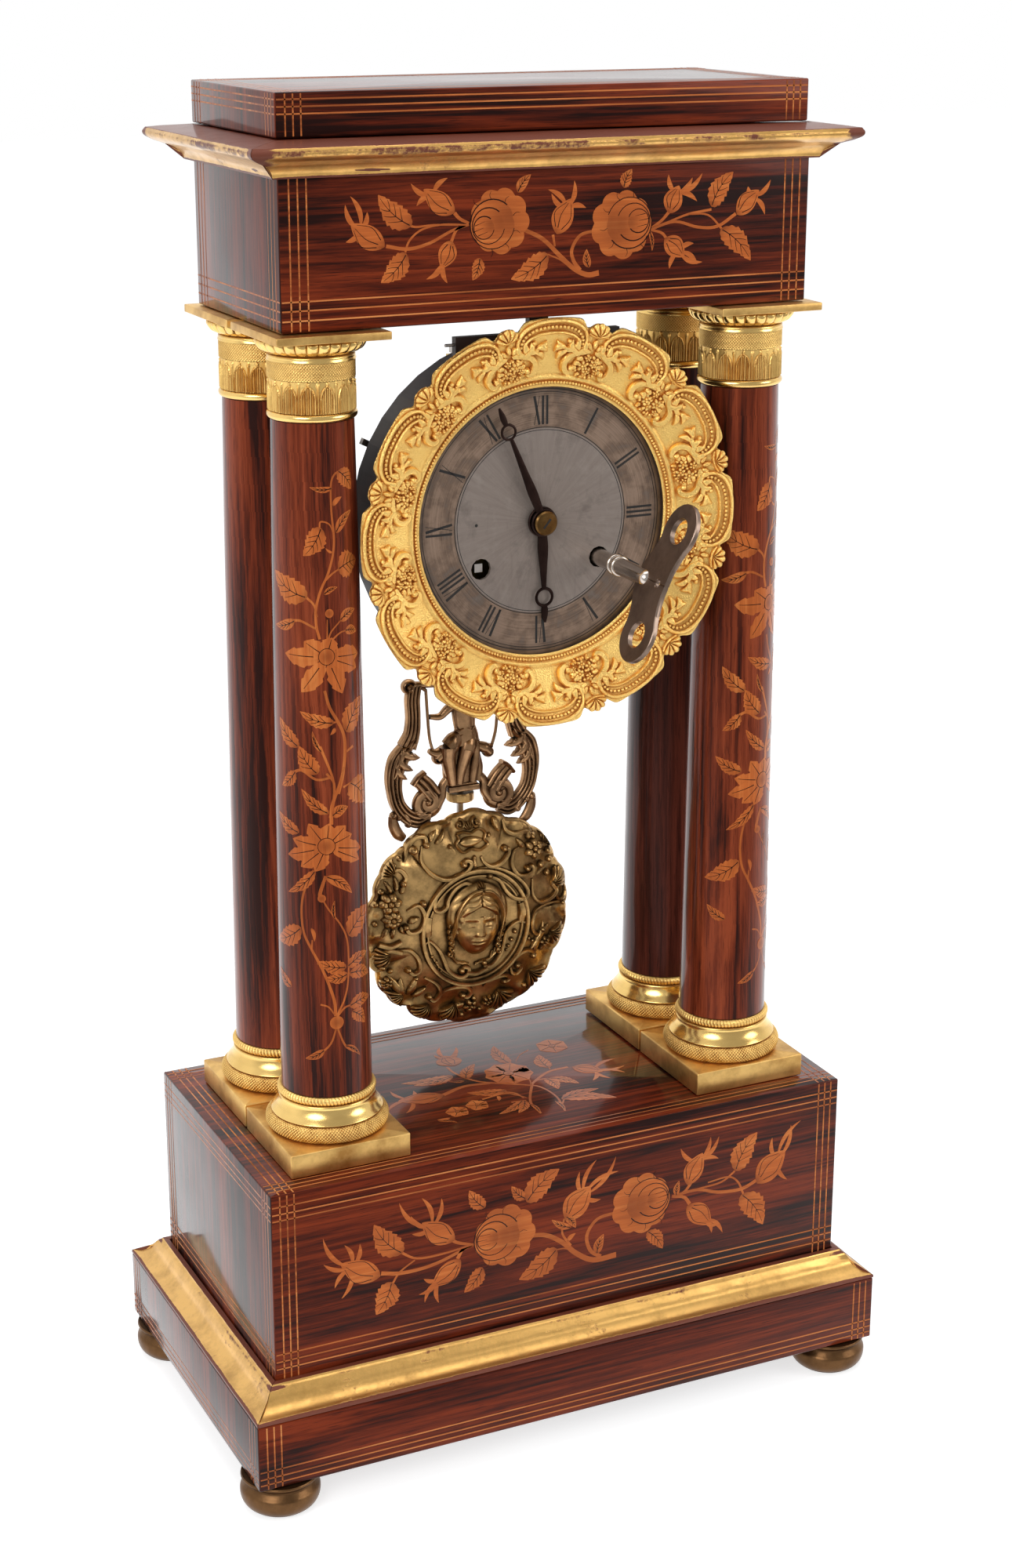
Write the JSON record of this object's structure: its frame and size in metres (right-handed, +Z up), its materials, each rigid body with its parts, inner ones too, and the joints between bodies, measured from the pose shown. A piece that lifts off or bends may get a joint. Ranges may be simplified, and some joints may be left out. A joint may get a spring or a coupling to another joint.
{
  "type": "portico clock",
  "caption": "Portico clock: a case of columns with gilt mounts and inlay, a drum movement with hands and winding squares, a bell, and an openwork pendulum.",
  "frame": {"origin": "centre of the whole clock's bounding box on the surface it stands on", "axes": "+Z up, -Y towards the viewer (the dial faces -Y), +X to the viewer's right"},
  "size_m": [0.2536, 0.1585, 0.48],
  "materials": {
    "rosewood": "french polished veneer",
    "ebonised_wood": "black satin",
    "gilded_wood": "worn water gilding",
    "gilt_brass": "matt and burnished gilding",
    "brushed_brass": "brushed",
    "movement_brass": "polished",
    "silvered_dial": "tarnished silvering",
    "dark_steel": "browned",
    "steel": "polished, aged",
    "old_gilt_bronze": "dark old gilding",
    "worn_gilt_bronze": "dark worn gilding"
  },
  "bodies": {
    "case": {"foot_front_left": "worn_gilt_bronze", "foot_front_right": "worn_gilt_bronze", "foot_back_left": "worn_gilt_bronze", "foot_back_right": "worn_gilt_bronze", "plinth": "rosewood", "base_block": "rosewood", "base_moulding_front": "gilded_wood", "base_moulding_right": "gilded_wood", "base_moulding_back": "gilded_wood", "base_moulding_left": "gilded_wood", "column_base_front_left": "gilt_brass", "column_base_front_right": "gilt_brass", "column_base_back_left": "gilt_brass", "column_base_back_right": "gilt_brass", "column_shaft_front_left": "rosewood", "column_shaft_front_right": "rosewood", "column_shaft_back_left": "rosewood", "column_shaft_back_right": "rosewood", "capital_front_left": "gilt_brass", "capital_front_right": "gilt_brass", "capital_back_left": "gilt_brass", "capital_back_right": "gilt_brass", "abacus_front_left": "brushed_brass", "abacus_front_right": "brushed_brass", "abacus_back_left": "brushed_brass", "abacus_back_right": "brushed_brass", "attic_block": "rosewood", "cornice_front": "gilded_wood", "cornice_right": "gilded_wood", "cornice_back": "gilded_wood", "cornice_left": "gilded_wood", "top_slab": "rosewood", "hanger_plate": "ebonised_wood", "hanger_pin": "steel", "drum_case": "ebonised_wood", "bezel": "gilt_brass", "dial": "silvered_dial", "front_plate": "movement_brass", "back_plate": "movement_brass", "suspension_cock": "movement_brass", "bell": "movement_brass", "bell_post": "steel"},
    "minute_work": {"minute_hand": "dark_steel", "hand_nut": "movement_brass", "centre_wheel": "movement_brass"},
    "hour_work": {"hour_hand": "dark_steel"},
    "going_barrel_body": {"going_barrel": "movement_brass"},
    "going_arbor_body": {"going_arbor": "steel"},
    "key": {"winding_key": "steel"},
    "strike_barrel_body": {"strike_barrel": "movement_brass"},
    "strike_arbor_body": {"strike_arbor": "steel"},
    "escape_body": {"escape_wheel": "movement_brass"},
    "anchor_body": {"anchor": "steel"},
    "pendulum": {"suspension_spring": "steel", "pendulum_rod": "steel", "pendulum_frame": "old_gilt_bronze", "pendulum_bob": "old_gilt_bronze"},
    "rating": {"rating_nut": "old_gilt_bronze"},
    "hammer": {"strike_hammer": "steel"},
    "lever": {"strike_lever": "steel"}
  },
  "joints": [
    {"name": "minute_turn", "type": "hinge", "parent": "case", "child": "minute_work", "pos_m": [0, 0.00135, 0.3365], "axis": [0, 1, 0], "range_deg": [-203, 135]},
    {"name": "hour_turn", "type": "hinge", "parent": "case", "child": "hour_work", "pos_m": [0, -0.02665, 0.3365], "axis": [0, 1, 0], "continuous": true},
    {"name": "going_barrel_turn", "type": "hinge", "parent": "case", "child": "going_barrel_body", "pos_m": [0.0223, 0.00135, 0.32191], "axis": [0, 1, 0], "continuous": true},
    {"name": "going_arbor_turn", "type": "hinge", "parent": "case", "child": "going_arbor_body", "pos_m": [0.0223, 0.00135, 0.32191], "axis": [0, 1, 0], "continuous": true},
    {"name": "key_pull", "type": "slide", "parent": "going_arbor_body", "child": "key", "axis": [0, -1, 0], "range_m": [0, 0.03]},
    {"name": "strike_barrel_turn", "type": "hinge", "parent": "case", "child": "strike_barrel_body", "pos_m": [-0.0223, 0.00135, 0.32191], "axis": [0, 1, 0], "continuous": true},
    {"name": "strike_arbor_turn", "type": "hinge", "parent": "case", "child": "strike_arbor_body", "pos_m": [-0.0223, 0.00135, 0.32191], "axis": [0, 1, 0], "continuous": true},
    {"name": "escape_turn", "type": "hinge", "parent": "case", "child": "escape_body", "pos_m": [0, 0.00235, 0.36], "axis": [0, 1, 0], "continuous": true},
    {"name": "pendulum_swing", "type": "hinge", "parent": "case", "child": "pendulum", "pos_m": [0, 0.04155, 0.376], "axis": [0, 1, 0], "range_deg": [-4, 4]},
    {"name": "anchor_rock", "type": "hinge", "parent": "case", "child": "anchor_body", "pos_m": [0, 0.00635, 0.376], "axis": [0, 1, 0], "range_deg": [-4, 4]},
    {"name": "rating_turn", "type": "hinge", "parent": "pendulum", "child": "rating", "pos_m": [0, 0.04155, 0.2186], "axis": [0, 0, 1], "continuous": true},
    {"name": "hammer_swing", "type": "hinge", "parent": "case", "child": "hammer", "pos_m": [0.036, 0.02455, 0.312], "axis": [0, 1, 0], "range_deg": [-3, 15], "stiffness_Nm_per_rad": 0.02},
    {"name": "lever_rock", "type": "hinge", "parent": "case", "child": "lever", "pos_m": [-0.0304, 0.00135, 0.35172], "axis": [0, 1, 0], "range_deg": [-3, 3], "stiffness_Nm_per_rad": 0.02}
  ],
  "couplings": [
    {"joint": "hour_turn", "follows": "minute_turn", "ratio": 0.083333},
    {"joint": "going_barrel_turn", "follows": "minute_turn", "ratio": -0.148},
    {"joint": "anchor_rock", "follows": "pendulum_swing", "ratio": 1}
  ]
}
